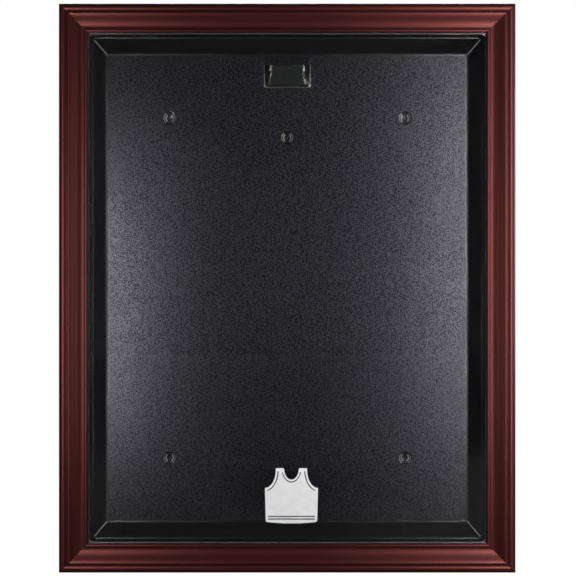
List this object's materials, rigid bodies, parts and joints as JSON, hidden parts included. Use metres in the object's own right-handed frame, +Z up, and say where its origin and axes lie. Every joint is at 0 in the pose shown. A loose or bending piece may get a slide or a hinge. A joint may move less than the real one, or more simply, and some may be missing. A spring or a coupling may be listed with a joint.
{
  "type": "jersey display frame",
  "caption": "Hinged wall display case for a jersey: mitred wood moulding door with a clear panel over a moulded black backing tray with wall screw dimples.",
  "frame": {"origin": "on the wall plane, at the centre of the rectangle of four wall screw holes", "axes": "+X to the right as seen from the front, +Y into the wall, +Z up"},
  "size_m": [0.858, 0.076, 1.069],
  "materials": {
    "mahogany_wood": "satin mahogany stain",
    "clear_acrylic": "clear gloss",
    "white_print": "matte printed film",
    "black_tray_plastic": "fine haircell texture, semi-matte",
    "black_strip_plastic": "matte",
    "zinc_steel": "zinc plated",
    "black_steel": "black plated"
  },
  "bodies": {
    "tray": {"backing_tray": "black_tray_plastic", "tray_leaf_upper": "black_steel", "tray_leaf_lower": "black_steel", "hinge_pin_upper": "zinc_steel", "hinge_pin_lower": "zinc_steel", "tray_leaf_screws": "black_steel", "strike_plate_upper": "zinc_steel", "strike_plate_lower": "zinc_steel", "strike_rivets": "zinc_steel"},
    "door": {"left_stile": "mahogany_wood", "right_stile": "mahogany_wood", "top_rail": "mahogany_wood", "bottom_rail": "mahogany_wood", "corner_v_nails": "zinc_steel", "clear_panel": "clear_acrylic", "printed_emblem": "white_print", "glazing_strip_left": "black_strip_plastic", "glazing_strip_right": "black_strip_plastic", "glazing_strip_top": "black_strip_plastic", "glazing_strip_bottom": "black_strip_plastic", "glazing_brads": "zinc_steel", "door_leaf_upper": "black_steel", "door_leaf_lower": "black_steel", "door_leaf_screws": "zinc_steel", "catch_magnet_upper": "zinc_steel", "catch_magnet_lower": "zinc_steel"}
  },
  "joints": [
    {"name": "door_hinge", "type": "hinge", "parent": "tray", "child": "door", "pos_m": [-0.3783, -0.0512, 0], "axis": [0, 0, -1], "range_deg": [0, 90]}
  ]
}
